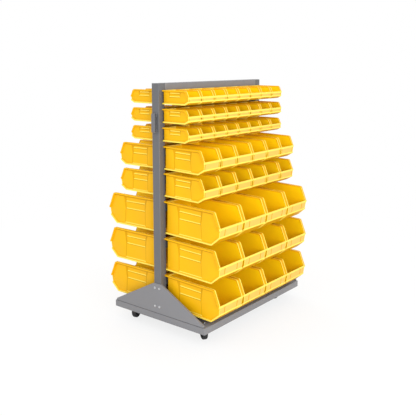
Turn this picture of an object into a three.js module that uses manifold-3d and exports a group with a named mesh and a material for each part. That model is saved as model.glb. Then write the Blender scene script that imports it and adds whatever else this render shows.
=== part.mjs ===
// Mobile bin cart: a double-sided rack on casters whose rails carry hang-on storage bins.
// Millimetres, +Z up. The origin is on the floor under the middle of the rack.
// The rack's length runs along X. The front faces -Y and the back faces +Y.

import * as THREE from 'three';
import { mergeVertices } from 'three/addons/utils/BufferGeometryUtils.js';
import Module from 'manifold-3d';

const wasm = await Module();
wasm.setup();

// Clearances that every joint shares
const SEAT_GAP = 0.3; // between two pieces that rest on each other
const HOLE_PLAY = 0.4; // added to a bolt's radius for its hole
const OVERRUN = 5; // how far a cutting tool passes the face that it cuts
const BEND_STEPS = 3; // facets in each rounded corner

// Base tray
const BASE_LENGTH = 914;
const BASE_DEPTH = 645;
const TRAY_SHEET = 2;
const SKIRT_HEIGHT = 35;

// Posts and header
const POST_WIDTH = 44.5;
const POST_DEPTH = 49;
const POST_WALL = 2;
const HEADER_LAP = 3.5; // how far the header reaches below the rim of the top row
const HEADER_WALL = 2;
const TOP_MARGIN = 34.5; // from the rim of the top row to the top of the posts

// Triangular end plates
const PLATE_SHEET = 3;
const PLATE_RISE = 165; // from the deck to the top of the plate
const PLATE_TOE = 11; // upright edge at the plate's outer corners
const PLATE_INSET = 10; // from the tray's side to the plate's outer corner
const PLATE_LIP = 12; // folded edge along the slopes
const FOOT_FLANGE = 32; // folded foot on the deck

// Rows of bins, counted from the top
const BIN_SPACING = 1.6; // between neighbours in a row
const SMALL_LENGTH = 175;
const SMALL_HEIGHT = 71.5;
const SMALL_COUNT = 8;
const SMALL_MARGIN = 27; // from the tray's end to the side of the bin next to it
const SMALL_DROOP = 0.2; // degrees that a bin's front hangs lower than its back
const MEDIUM_LENGTH = 270;
const MEDIUM_HEIGHT = 122;
const MEDIUM_COUNT = 6;
const MEDIUM_MARGIN = 32.5;
const MEDIUM_DROOP = 1.3;
const LARGE_LENGTH = 373;
const LARGE_HEIGHT = 173.5;
const LARGE_COUNT = 4;
const LARGE_MARGIN = 32.5;
const LARGE_DROOP = 1.8;
const GAP_UNDER_ROW_1 = 23.5;
const GAP_UNDER_ROW_2 = 23.5;
const GAP_UNDER_ROW_3 = 25;
const GAP_UNDER_ROW_4 = 20;
const GAP_UNDER_ROW_5 = 26;
const GAP_UNDER_ROW_6 = 25;
const GAP_UNDER_ROW_7 = 27;
const GAP_UNDER_ROW_8 = 37;

// Bin walls, rim and hanging hook
const BIN_WALL = 2.5;
const RIM_OUT = 1.6; // how far the rim stands out from the front wall
const RIM_SIDE = 4.5; // how far the rim stands out from a side wall, with this share of the width
const RIM_SIDE_SHARE = 0.033;
const RIM_BACK = 8; // how far the rim stands out from the back wall
const RIM_BAND = 7; // height of the rim
const LEDGE_OUT = 3; // how far the floor stands out from the side walls
const BIN_LIFT = 12; // how far a bin rises to come off its rail
const HOOK_HEADROOM = 1.5; // from a lifted bin's hook to the header
const HOOK_SHEET = 2.5;
const HOOK_DEPTH = 8.5; // how far the hook's lip hangs behind the rail
const HOOK_SIDE = 23; // from the bin's side to the hook's end
const HOOK_PLAY = 0.5; // between the rail's wall and the hook

// Shares of a bin's length and height that give its side outline
const RIM_END_SHARE = 0.903;
const LIP_HEIGHT_SHARE = 0.525;
const FRONT_FOOT_SHARE = 0.98;
const SMALL_FOOT_HEIGHT_SHARE = 0.165;
const MEDIUM_FOOT_HEIGHT_SHARE = 0.175;
const LARGE_FOOT_HEIGHT_SHARE = 0.235;
const FLOOR_END_SHARE = 0.86;

// Cross rails: channels with their open side up, whose walls carry the hooks of both sides
const RAIL_WALL = 1.5;
const RAIL_HEIGHT = 36;

// Bow handles on the end posts
const HANDLE_CENTRE = 1118; // height of the handle's middle
const HANDLE_HEIGHT = 100;
const HANDLE_WIDTH = 23;
const HANDLE_REACH = 19;
const HANDLE_SHEET = 3;
const HANDLE_BEND = 8; // outer radius of its corners
const HANDLE_FOOT = 18;

// Casters
const WHEEL_RADIUS = 38;
const WHEEL_WIDTH = 26;
const WHEEL_SIDES = 20;
const HUB_RADIUS = 13;
const HUB_PROUD = 1.5; // how far the hub stands out of the wheel's side
const TREAD_DEPTH = 9;
const TREAD_ROUND = 7; // radius of the tread's two rounded edges
const WEB_RECESS = 6;
const AXLE_RADIUS = 4;
const AXLE_HEAD_RADIUS = 7;
const AXLE_HEAD = 4;
const CASTER_TRAIL = 28; // from the swivel axis to the axle
const CASTER_INSET_X = 93; // from the tray's end to the swivel axis
const CASTER_INSET_Y = 90; // from the tray's side to the swivel axis
const FORK_SHEET = 2.5;
const FORK_PLAY = 1; // between the hub and each fork arm
const FORK_CROWN_RADIUS = 24;
const FORK_EYE_RADIUS = 12;
const KINGPIN_RADIUS = 5;
const KINGPIN_HEAD_RADIUS = 9;
const KINGPIN_HEAD = 3;
const KINGPIN_RECESS = 0.5; // from the top plate's upper face down to the rivet's end
const WHEEL_HEADROOM = 5; // from the wheel to the kingpin's head
const RACE_RADIUS = 24;
const RACE_HEIGHT = 6;
const TOP_PLATE_LENGTH = 94;
const TOP_PLATE_DEPTH = 105;
const TOP_PLATE_SHEET = 3;
const TURNED_SIDES = 12;

// Trailing direction of each caster as the cart stands, in degrees from +X
const FRONT_LEFT_TRAIL = 236;
const FRONT_RIGHT_TRAIL = 180;
const BACK_LEFT_TRAIL = 198;
const BACK_RIGHT_TRAIL = 170;

// Bolts
const BOLT_RADIUS = 3;
const BOLT_HEAD_RADIUS = 6;
const BOLT_HEAD = 4;
const BOLT_SIDES = 6;
const BOLT_END = 4; // how far a bolt's end stands out behind the last sheet
const SCREW_RADIUS = 2;
const SCREW_HEAD_RADIUS = 4;
const SCREW_HEAD = 2.5;
const POST_BOLT_SPREAD = 31; // between the two bolts side by side
const POST_BOLT_RISE = 101; // between the lower pair and the upper pair
const POST_BOLT_FOOT = 39; // from the deck to the lower pair
const TRAY_BOLT_INSET = 40; // from the plate's outer corner to its deck bolt
const CASTER_BOLT_LENGTH = 73; // between a caster's bolts along X
const CASTER_BOLT_DEPTH = 87; // between a caster's bolts along Y
const STUD_PLATE_SHEET = 2.5; // plate inside the post that carries the four studs
const STUD_PLATE_MARGIN = 5; // from a stud's axis to the plate's edge

// Heights that follow from the stack of each caster, from the floor up
const KINGPIN_BOTTOM = 2 * WHEEL_RADIUS + WHEEL_HEADROOM;
const CROWN_BOTTOM = KINGPIN_BOTTOM + KINGPIN_HEAD + SEAT_GAP;
const CROWN_TOP = CROWN_BOTTOM + FORK_SHEET;
const RACE_BOTTOM = CROWN_TOP + SEAT_GAP;
const TOP_PLATE_BOTTOM = RACE_BOTTOM + RACE_HEIGHT;
const TOP_PLATE_TOP = TOP_PLATE_BOTTOM + TOP_PLATE_SHEET;
const DECK_BOTTOM = TOP_PLATE_TOP + SEAT_GAP;
const DECK_TOP = DECK_BOTTOM + TRAY_SHEET;
const DECK_SEAT = DECK_TOP + SEAT_GAP;

// Places that follow along the rack
const POST_OUTER = BASE_LENGTH / 2 - PLATE_SHEET - SEAT_GAP;
const POST_INNER = POST_OUTER - POST_WIDTH;
const RAIL_LENGTH = 2 * (POST_INNER - SEAT_GAP);

// Place of the bins' backs, measured out from the rack's middle plane
const BIN_BACK = POST_DEPTH / 2 + HOOK_PLAY;

// From a bin's rim to its hook's top, so that the hook stays below the header in the lift
const HOOK_DROP = HEADER_LAP + BIN_LIFT + HOOK_HEADROOM;

// From one bin's middle to the next along a row
const pitchOf = (margin, count) => (BASE_LENGTH - 2 * margin + BIN_SPACING) / count;

const SMALL_BIN = {
  length: SMALL_LENGTH,
  height: SMALL_HEIGHT,
  count: SMALL_COUNT,
  pitch: pitchOf(SMALL_MARGIN, SMALL_COUNT),
  droop: SMALL_DROOP,
  footHeight: SMALL_HEIGHT * SMALL_FOOT_HEIGHT_SHARE,
};
const MEDIUM_BIN = {
  length: MEDIUM_LENGTH,
  height: MEDIUM_HEIGHT,
  count: MEDIUM_COUNT,
  pitch: pitchOf(MEDIUM_MARGIN, MEDIUM_COUNT),
  droop: MEDIUM_DROOP,
  footHeight: MEDIUM_HEIGHT * MEDIUM_FOOT_HEIGHT_SHARE,
};
const LARGE_BIN = {
  length: LARGE_LENGTH,
  height: LARGE_HEIGHT,
  count: LARGE_COUNT,
  pitch: pitchOf(LARGE_MARGIN, LARGE_COUNT),
  droop: LARGE_DROOP,
  footHeight: LARGE_HEIGHT * LARGE_FOOT_HEIGHT_SHARE,
};

// The rows from the top down. A row with a loose name has its first bin as a node of its own.
const ROWS = [
  { bin: SMALL_BIN, gap: GAP_UNDER_ROW_1, loose: 'small' },
  { bin: SMALL_BIN, gap: GAP_UNDER_ROW_2 },
  { bin: SMALL_BIN, gap: GAP_UNDER_ROW_3 },
  { bin: MEDIUM_BIN, gap: GAP_UNDER_ROW_4, loose: 'medium' },
  { bin: MEDIUM_BIN, gap: GAP_UNDER_ROW_5 },
  { bin: LARGE_BIN, gap: GAP_UNDER_ROW_6, loose: 'large' },
  { bin: LARGE_BIN, gap: GAP_UNDER_ROW_7 },
  { bin: LARGE_BIN, gap: GAP_UNDER_ROW_8 },
];

// Rim heights follow from the deck up, so that every row keeps its gap
let stackedHeight = DECK_TOP;
for (const row of [...ROWS].reverse()) {
  row.rim = stackedHeight + row.gap + row.bin.height;
  stackedHeight = row.rim;
}
const POST_TOP = stackedHeight + TOP_MARGIN;

// Materials
const finish = (color, roughness, metalness) => () => (
  new THREE.MeshStandardMaterial({ color, roughness, metalness }));
const greyPaint = finish(0x8b8c91, 0.45, 0.2);
const yellowPlastic = finish(0xf2b714, 0.35, 0);
const zinc = finish(0xc9ccd0, 0.3, 0.9);
const blackRubber = finish(0x1a1a1b, 0.8, 0);
const handlePaint = finish(0x7e8086, 0.45, 0.2);

// Geometry helpers

function bare(geometry) {
  const copy = geometry.index ? geometry.clone() : mergeVertices(geometry);
  copy.deleteAttribute('normal');
  copy.deleteAttribute('uv');
  return mergeVertices(copy);
}

function solid(geometry) {
  const merged = bare(geometry);
  return new wasm.Manifold(new wasm.Mesh({
    numProp: 3,
    vertProperties: merged.attributes.position.array,
    triVerts: new Uint32Array(merged.index.array),
  }));
}

function geometryOf(manifold) {
  const mesh = manifold.getMesh();
  const geometry = new THREE.BufferGeometry();
  geometry.setAttribute('position', new THREE.BufferAttribute(mesh.vertProperties, 3));
  geometry.setIndex(new THREE.BufferAttribute(mesh.triVerts, 1));
  return geometry;
}

const join = (first, ...others) => others.reduce((sum, item) => sum.add(item), first);
const cut = (body, ...tools) => tools.reduce((rest, tool) => rest.subtract(tool), body);

// A box given by its lowest and highest corner
function block(low, high) {
  const size = high.map((value, axis) => value - low[axis]);
  const middle = high.map((value, axis) => (value + low[axis]) / 2);
  return new THREE.BoxGeometry(...size).translate(...middle);
}

// An outline of [outwards, up] points, extruded along X about the middle and facing -Y
function profileAlongX(outline, length) {
  const shape = outline instanceof THREE.Shape ? outline
    : new THREE.Shape(outline.map(([x, y]) => new THREE.Vector2(x, y)));
  const geometry = new THREE.ExtrudeGeometry(shape, { depth: length, bevelEnabled: false });
  const turn = new THREE.Matrix4().makeBasis(
    new THREE.Vector3(0, -1, 0), new THREE.Vector3(0, 0, 1), new THREE.Vector3(-1, 0, 0));
  return geometry.translate(0, 0, -length / 2).applyMatrix4(turn);
}

// An outline of [outwards, up] points, extruded along Y about the middle and facing -X
function profileAlongY(outline, depth) {
  return profileAlongX(outline, depth).rotateZ(-Math.PI / 2);
}

// A turned piece about an upright axis, from [radius, height] points
function turned(outline, sides) {
  const points = outline.map(([radius, height]) => new THREE.Vector2(radius, height));
  return new THREE.LatheGeometry(points, sides).rotateX(Math.PI / 2);
}

// A bolt that points down, with its head's seat at height zero
function bolt(radius, headRadius, head, length) {
  return turned([
    [0, -length], [radius, -length], [radius, 0], [headRadius, 0], [headRadius, head], [0, head],
  ], BOLT_SIDES);
}

// The tool that cuts a bolt's hole, long enough to pass the sheets under the head
function boltHole(radius, length) {
  const wide = radius + HOLE_PLAY;
  return turned([[0, -length], [wide, -length], [wide, OVERRUN], [0, OVERRUN]], BOLT_SIDES);
}

function namedMesh(name, geometry, material) {
  const mesh = new THREE.Mesh(geometry, material());
  mesh.name = name;
  return mesh;
}

// Places of the bolts

// The four bolts that hold an end plate to its post, as [across, height]
const postBoltPlaces = [-1, 1].flatMap((side) => [0, 1].map((level) => [
  side * POST_BOLT_SPREAD / 2, DECK_TOP + POST_BOLT_FOOT + level * POST_BOLT_RISE]));

// The bolts that hold an end plate's foot to the deck, as distances across
const PLATE_HALF = BASE_DEPTH / 2 - PLATE_INSET;
const footBoltPlaces = [-1, 1].map((side) => side * (PLATE_HALF - TRAY_BOLT_INSET));
const FOOT_BOLT_IN = FOOT_FLANGE / 2; // from the tray's end to these bolts

// The screws in the handle's feet, as heights
const handleScrewPlaces = [-1, 1].map((end) => (
  HANDLE_CENTRE + end * (HANDLE_HEIGHT / 2 - HANDLE_SHEET - HANDLE_FOOT / 2)));

const casterPlaces = [
  { name: 'front_left', x: -1, y: -1, trail: FRONT_LEFT_TRAIL },
  { name: 'front_right', x: 1, y: -1, trail: FRONT_RIGHT_TRAIL },
  { name: 'back_left', x: -1, y: 1, trail: BACK_LEFT_TRAIL },
  { name: 'back_right', x: 1, y: 1, trail: BACK_RIGHT_TRAIL },
].map((place) => ({
  ...place,
  x: place.x * (BASE_LENGTH / 2 - CASTER_INSET_X),
  y: place.y * (BASE_DEPTH / 2 - CASTER_INSET_Y),
}));

const casterBoltOffsets = [-1, 1].flatMap((x) => [-1, 1].map((y) => [
  x * CASTER_BOLT_LENGTH / 2, y * CASTER_BOLT_DEPTH / 2]));

// Turns a bolt that points down so that it points along +X, at a place on the left end
const onLeftEnd = (geometry, x, y, z) => geometry.rotateY(-Math.PI / 2).translate(x, y, z);

// Base tray: a deck with its four edges folded down
function baseTray() {
  const x = BASE_LENGTH / 2;
  const y = BASE_DEPTH / 2;
  const low = DECK_TOP - SKIRT_HEIGHT;
  const outer = solid(block([-x, -y, low], [x, y, DECK_TOP]));
  const hollow = solid(block(
    [-x + TRAY_SHEET, -y + TRAY_SHEET, low - OVERRUN],
    [x - TRAY_SHEET, y - TRAY_SHEET, DECK_BOTTOM]));
  const drill = () => boltHole(BOLT_RADIUS, TRAY_SHEET + OVERRUN);
  const casterHoles = casterPlaces.flatMap((caster) => casterBoltOffsets.map(([dx, dy]) => (
    solid(drill().translate(caster.x + dx, caster.y + dy, DECK_TOP)))));
  const footHoles = [-1, 1].flatMap((end) => footBoltPlaces.map((across) => (
    solid(drill().translate(end * (x - FOOT_BOLT_IN), across, DECK_TOP)))));
  return geometryOf(cut(outer, hollow, ...casterHoles, ...footHoles));
}

// Post: a square tube closed at the top, drilled for the end plate and the handle
function post() {
  const half = POST_DEPTH / 2;
  const tube = solid(block([-POST_OUTER, -half, DECK_SEAT], [-POST_INNER, half, POST_TOP]));
  const hollow = solid(block(
    [-POST_OUTER + POST_WALL, -half + POST_WALL, DECK_SEAT - OVERRUN],
    [-POST_INNER - POST_WALL, half - POST_WALL, POST_TOP - POST_WALL]));
  const boltHoles = postBoltPlaces.map(([y, z]) => (
    solid(onLeftEnd(boltHole(BOLT_RADIUS, POST_WALL + OVERRUN), -POST_OUTER, y, z))));
  const screwHoles = handleScrewPlaces.map((z) => (
    solid(onLeftEnd(boltHole(SCREW_RADIUS, POST_WALL + OVERRUN), -POST_OUTER, 0, z))));
  return geometryOf(cut(tube, hollow, ...boltHoles, ...screwHoles));
}

// End plate: a triangle with folded slopes and a folded foot on each side of the post
function endPlate() {
  const apex = POST_DEPTH / 2;
  const clear = apex + SEAT_GAP;
  const run = (PLATE_HALF - apex) / (PLATE_RISE - PLATE_TOE); // how far a slope runs out per height
  const across = PLATE_SHEET * Math.hypot(run, 1); // the lip's thickness, measured level
  const lipEnd = PLATE_RISE - (clear + across - apex) / run;
  const inner = PLATE_HALF - across;
  const seatX = -(BASE_LENGTH - PLATE_LIP) / 2;
  const shell = solid(profileAlongX([
    [-PLATE_HALF, 0], [PLATE_HALF, 0], [PLATE_HALF, PLATE_TOE],
    [apex, PLATE_RISE], [-apex, PLATE_RISE], [-PLATE_HALF, PLATE_TOE],
  ], PLATE_LIP).translate(seatX, 0, DECK_SEAT));
  const past = clear + 2 * across;
  const inside = solid(profileAlongX([
    [-inner, -OVERRUN], [inner, -OVERRUN], [inner, PLATE_TOE], [clear, lipEnd], [past, lipEnd],
    [past, PLATE_RISE + OVERRUN], [-past, PLATE_RISE + OVERRUN], [-past, lipEnd],
    [-clear, lipEnd], [-inner, PLATE_TOE],
  ], PLATE_LIP).translate(seatX + PLATE_SHEET, 0, DECK_SEAT));
  const feet = [-1, 1].map((side) => {
    const ends = [side * clear, side * (PLATE_HALF - across / 2)];
    return solid(block(
      [-BASE_LENGTH / 2 + PLATE_SHEET / 2, Math.min(...ends), DECK_SEAT],
      [-BASE_LENGTH / 2 + FOOT_FLANGE, Math.max(...ends), DECK_SEAT + PLATE_SHEET]));
  });
  const holes = postBoltPlaces.map(([y, z]) => (
    solid(onLeftEnd(boltHole(BOLT_RADIUS, PLATE_SHEET + OVERRUN), -BASE_LENGTH / 2, y, z))));
  const down = PLATE_SHEET + SEAT_GAP + TRAY_SHEET + BOLT_END;
  const footBolts = footBoltPlaces.map((y) => (
    solid(bolt(BOLT_RADIUS, BOLT_HEAD_RADIUS, BOLT_HEAD, down)
      .translate(-BASE_LENGTH / 2 + FOOT_BOLT_IN, y, DECK_SEAT + PLATE_SHEET))));
  return geometryOf(cut(join(cut(shell, inside), ...feet, ...footBolts), ...holes));
}

// Stud plate: inside the post, with the four studs and their nuts outside the end plate
function studPlate() {
  const back = -POST_OUTER + POST_WALL + SEAT_GAP;
  const half = POST_BOLT_SPREAD / 2 + STUD_PLATE_MARGIN;
  const low = DECK_TOP + POST_BOLT_FOOT - STUD_PLATE_MARGIN;
  const plate = solid(block([back, -half, low],
    [back + STUD_PLATE_SHEET, half, low + POST_BOLT_RISE + 2 * STUD_PLATE_MARGIN]));
  const seat = -BASE_LENGTH / 2 - SEAT_GAP;
  const reach = back + STUD_PLATE_SHEET / 2 - seat;
  const studs = postBoltPlaces.map(([y, z]) => (
    solid(onLeftEnd(bolt(BOLT_RADIUS, BOLT_HEAD_RADIUS, BOLT_HEAD, reach), seat, y, z))));
  return geometryOf(join(plate, ...studs));
}

// Header: a channel with its open side down, between the tops of the posts
function header() {
  const half = POST_DEPTH / 2;
  const bottom = POST_TOP - TOP_MARGIN - HEADER_LAP;
  const under = POST_TOP - HEADER_WALL;
  return profileAlongX([
    [-half, bottom], [-half + HEADER_WALL, bottom], [-half + HEADER_WALL, under],
    [half - HEADER_WALL, under], [half - HEADER_WALL, bottom], [half, bottom],
    [half, POST_TOP], [-half, POST_TOP],
  ], RAIL_LENGTH);
}

// Cross rail: its upright walls stand inside the hooks of the front and the back bins
function crossRail(rim) {
  const half = POST_DEPTH / 2;
  const top = rim - HOOK_DROP - HOOK_SHEET - SEAT_GAP;
  const bottom = top - RAIL_HEIGHT;
  return profileAlongX([
    [-half, bottom], [half, bottom], [half, top], [half - RAIL_WALL, top],
    [half - RAIL_WALL, bottom + RAIL_WALL], [-half + RAIL_WALL, bottom + RAIL_WALL],
    [-half + RAIL_WALL, top], [-half, top],
  ], RAIL_LENGTH);
}

// Bins at places along a rail, open at the top and down their slanted fronts. Neighbours are
// joined along their rims. Each has a hook behind its rim and a ledge round its floor. The bins
// droop about the back of their rims, and the hooks stay level on the rail.
function hangingBins({ length, height, pitch, droop, footHeight }, places, rimHeight) {
  const width = pitch - BIN_SPACING;
  const outer = width - 2 * (RIM_SIDE + width * RIM_SIDE_SHARE);
  const first = places[0];
  const last = places[places.length - 1];
  const rimEnd = length * RIM_END_SHARE;
  const lipHeight = height * LIP_HEIGHT_SHARE;
  const frontFoot = length * FRONT_FOOT_SHARE;
  const floorEnd = length * FLOOR_END_SHARE;
  const inside = RIM_BACK + BIN_WALL;
  const each = (outline, span) => places.map((x) => (
    solid(profileAlongX(outline, span).translate(x, 0, 0))));
  const bodies = each([
    [RIM_BACK, 0], [floorEnd, 0], [frontFoot, footHeight], [length - RIM_OUT, lipHeight],
    [rimEnd, height], [RIM_BACK, height],
  ], outer);
  const ledges = each([
    [RIM_BACK, 0], [floorEnd, 0], [floorEnd, BIN_WALL], [RIM_BACK, BIN_WALL],
  ], outer + 2 * LEDGE_OUT);
  const rim = solid(profileAlongX([
    [0, height - RIM_BAND], [rimEnd - RIM_BAND, height - RIM_BAND],
    [length - RIM_BAND, lipHeight - RIM_BAND], [length, lipHeight - RIM_BAND],
    [length, lipHeight], [rimEnd, height], [0, height],
  ], last - first + width).translate((first + last) / 2, 0, 0));
  const hollows = each([
    [inside, BIN_WALL], [floorEnd, BIN_WALL], [frontFoot - BIN_WALL, footHeight + BIN_WALL],
    [length - RIM_OUT - BIN_WALL, lipHeight], [length + OVERRUN, lipHeight],
    [length + OVERRUN, height + OVERRUN], [inside, height + OVERRUN],
  ], outer - 2 * BIN_WALL);
  const hookTop = height - HOOK_DROP;
  const hookUnder = hookTop - HOOK_SHEET;
  const hookFront = -(HOOK_PLAY + RAIL_WALL + HOOK_PLAY);
  const hookBack = hookFront - HOOK_SHEET;
  const hookRoot = RIM_BACK + BIN_WALL / 2;
  const hooks = each([
    [hookRoot, hookUnder], [hookRoot, hookTop], [hookBack, hookTop],
    [hookBack, hookUnder - HOOK_DEPTH], [hookFront, hookUnder - HOOK_DEPTH],
    [hookFront, hookUnder],
  ], width - 2 * HOOK_SIDE);
  const tubs = cut(join(rim, ...bodies, ...ledges), ...hollows)
    .translate([0, 0, -height]).rotate([droop, 0, 0]).translate([0, 0, height]);
  return geometryOf(join(tubs, ...hooks)).translate(0, -BIN_BACK, rimHeight - height);
}

// The bins of one side of the rack, built as the front
function binSide(name) {
  const side = new THREE.Group();
  ROWS.forEach(({ bin, rim, loose }, index) => {
    const places = Array.from({ length: bin.count }, (_, place) => (
      (place - (bin.count - 1) / 2) * bin.pitch));
    if (loose) {
      const single = hangingBins(bin, [places.shift()], rim);
      side.add(namedMesh(`${name}_loose_${loose}_bin`, single, yellowPlastic));
    }
    const row = hangingBins(bin, places, rim);
    side.add(namedMesh(`${name}_row_${index + 1}_bins`, row, yellowPlastic));
  });
  return side;
}

// Handle: a bowed strip whose feet turn in under the bow, with its two screws
function handle() {
  const half = HANDLE_HEIGHT / 2;
  const inner = HANDLE_BEND - HANDLE_SHEET;
  const shape = new THREE.Shape();
  const corner = (x, y, radius, start, end) => {
    for (let step = 0; step <= BEND_STEPS; step += 1) {
      const angle = start + (end - start) * step / BEND_STEPS;
      shape.lineTo(x + radius * Math.cos(angle), y + radius * Math.sin(angle));
    }
  };
  const quarter = Math.PI / 2;
  const bend = HANDLE_REACH - HANDLE_BEND;
  shape.moveTo(0, -half);
  corner(bend, -half + HANDLE_BEND, HANDLE_BEND, -quarter, 0);
  corner(bend, half - HANDLE_BEND, HANDLE_BEND, 0, quarter);
  shape.lineTo(0, half);
  shape.lineTo(0, half - HANDLE_SHEET - HANDLE_FOOT);
  shape.lineTo(HANDLE_SHEET, half - HANDLE_SHEET - HANDLE_FOOT);
  shape.lineTo(HANDLE_SHEET, half - HANDLE_SHEET);
  corner(bend, half - HANDLE_BEND, inner, quarter, 0);
  corner(bend, -half + HANDLE_BEND, inner, 0, -quarter);
  shape.lineTo(HANDLE_SHEET, -half + HANDLE_SHEET);
  shape.lineTo(HANDLE_SHEET, -half + HANDLE_SHEET + HANDLE_FOOT);
  shape.lineTo(0, -half + HANDLE_SHEET + HANDLE_FOOT);
  shape.closePath();
  const seat = -POST_OUTER - SEAT_GAP;
  const strip = solid(profileAlongY(shape, HANDLE_WIDTH).translate(seat, 0, HANDLE_CENTRE));
  const reach = HANDLE_SHEET + SEAT_GAP + POST_WALL + BOLT_END;
  const screws = handleScrewPlaces.map((z) => solid(onLeftEnd(
    bolt(SCREW_RADIUS, SCREW_HEAD_RADIUS, SCREW_HEAD, reach), seat - HANDLE_SHEET, 0, z)));
  return geometryOf(join(strip, ...screws));
}

// One end of the rack, built as the left end
function rackEnd(name) {
  const end = new THREE.Group();
  end.add(
    namedMesh(`${name}_post`, post(), greyPaint),
    namedMesh(`${name}_end_plate`, endPlate(), greyPaint),
    namedMesh(`${name}_handle`, handle(), handlePaint),
    namedMesh(`${name}_stud_plate`, studPlate(), zinc));
  return end;
}

// Caster top plate: drilled for the kingpin, with its swivel race and its four bolts
function casterTopPlate() {
  const sheet = solid(block(
    [-TOP_PLATE_LENGTH / 2, -TOP_PLATE_DEPTH / 2, TOP_PLATE_BOTTOM],
    [TOP_PLATE_LENGTH / 2, TOP_PLATE_DEPTH / 2, TOP_PLATE_TOP]));
  const race = solid(turned([
    [0, RACE_BOTTOM], [RACE_RADIUS, RACE_BOTTOM],
    [RACE_RADIUS, TOP_PLATE_BOTTOM + TOP_PLATE_SHEET / 2],
    [0, TOP_PLATE_BOTTOM + TOP_PLATE_SHEET / 2],
  ], TURNED_SIDES));
  const reach = DECK_SEAT - TOP_PLATE_BOTTOM + BOLT_END;
  const bolts = casterBoltOffsets.map(([x, y]) => (
    solid(bolt(BOLT_RADIUS, BOLT_HEAD_RADIUS, BOLT_HEAD, reach).translate(x, y, DECK_SEAT))));
  return geometryOf(join(cut(join(sheet, race), kingpinBore()), ...bolts));
}

// Kingpin: a rivet that holds the fork under the top plate and lets it swivel
function kingpin() {
  const lower = CROWN_BOTTOM - SEAT_GAP;
  const upper = TOP_PLATE_TOP - KINGPIN_RECESS;
  return turned([
    [0, lower - KINGPIN_HEAD], [KINGPIN_HEAD_RADIUS, lower - KINGPIN_HEAD],
    [KINGPIN_HEAD_RADIUS, lower], [KINGPIN_RADIUS, lower], [KINGPIN_RADIUS, upper], [0, upper],
  ], TURNED_SIDES);
}

// The tool that cuts the kingpin's hole through the top plate and the fork
function kingpinBore() {
  const wide = KINGPIN_RADIUS + HOLE_PLAY;
  const low = KINGPIN_BOTTOM - OVERRUN;
  const high = DECK_TOP + OVERRUN;
  return solid(turned([[0, low], [wide, low], [wide, high], [0, high]], TURNED_SIDES));
}

const ARM_INNER = WHEEL_WIDTH / 2 + HUB_PROUD + FORK_PLAY;

// Fork: a crown on the kingpin and two arms that lean back to the axle
function casterFork() {
  const eye = [CASTER_TRAIL, WHEEL_RADIUS];
  const outline = new THREE.Shape();
  outline.moveTo(-FORK_CROWN_RADIUS, CROWN_TOP);
  outline.lineTo(-FORK_CROWN_RADIUS, CROWN_TOP - FORK_EYE_RADIUS);
  for (const angle of [Math.PI, Math.PI * 5 / 4, Math.PI * 3 / 2, Math.PI * 7 / 4, 0]) {
    outline.lineTo(
      eye[0] + FORK_EYE_RADIUS * Math.cos(angle), eye[1] + FORK_EYE_RADIUS * Math.sin(angle));
  }
  outline.lineTo(FORK_CROWN_RADIUS, CROWN_TOP);
  outline.closePath();
  const pinHole = () => turned([
    [0, -ARM_INNER * 2], [AXLE_RADIUS + HOLE_PLAY, -ARM_INNER * 2],
    [AXLE_RADIUS + HOLE_PLAY, ARM_INNER * 2], [0, ARM_INNER * 2],
  ], BOLT_SIDES).rotateX(Math.PI / 2).translate(eye[0], 0, eye[1]);
  const arms = [-1, 1].map((side) => {
    const flat = new THREE.ExtrudeGeometry(outline, { depth: FORK_SHEET, bevelEnabled: false });
    return solid(flat.rotateX(Math.PI / 2)
      .translate(0, side * (ARM_INNER + FORK_SHEET / 2) + FORK_SHEET / 2, 0));
  });
  const width = ARM_INNER + FORK_SHEET / 2;
  const crown = solid(block(
    [-FORK_CROWN_RADIUS, -width, CROWN_BOTTOM], [FORK_CROWN_RADIUS, width, CROWN_TOP]));
  return geometryOf(cut(join(crown, ...arms), kingpinBore(), solid(pinHole())));
}

// Wheel: a tread on a recessed web and a hub, standing on a flat of its tread
function casterWheel() {
  const tread = WHEEL_RADIUS / Math.cos(Math.PI / WHEEL_SIDES);
  const half = WHEEL_WIDTH / 2;
  const hub = half + HUB_PROUD;
  const web = half - WEB_RECESS;
  const bore = AXLE_RADIUS + HOLE_PLAY;
  const rounded = (side) => Array.from({ length: BEND_STEPS + 1 }, (_, step) => {
    const angle = (step / BEND_STEPS) * (Math.PI / 2);
    return [tread - TREAD_ROUND * (1 - Math.sin(angle)),
      side * (half - TREAD_ROUND * (1 - Math.cos(angle)))];
  });
  const outline = [
    [bore, -hub], [HUB_RADIUS, -hub], [HUB_RADIUS, -web], [tread - TREAD_DEPTH, -half],
    ...rounded(-1), ...rounded(1).reverse(), [tread - TREAD_DEPTH, half], [HUB_RADIUS, web],
    [HUB_RADIUS, hub], [bore, hub], [bore, -hub],
  ].map(([radius, height]) => new THREE.Vector2(radius, height));
  return new THREE.LatheGeometry(outline, WHEEL_SIDES, Math.PI / WHEEL_SIDES)
    .translate(CASTER_TRAIL, 0, WHEEL_RADIUS);
}

// Axle: a pin with a head on each end, outside the fork's arms
function casterAxle() {
  const seat = ARM_INNER + FORK_SHEET + SEAT_GAP;
  const end = seat + AXLE_HEAD;
  return turned([
    [0, -end], [AXLE_HEAD_RADIUS, -end], [AXLE_HEAD_RADIUS, -seat], [AXLE_RADIUS, -seat],
    [AXLE_RADIUS, seat], [AXLE_HEAD_RADIUS, seat], [AXLE_HEAD_RADIUS, end], [0, end],
  ], BOLT_SIDES).rotateX(Math.PI / 2).translate(CASTER_TRAIL, 0, WHEEL_RADIUS);
}

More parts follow.
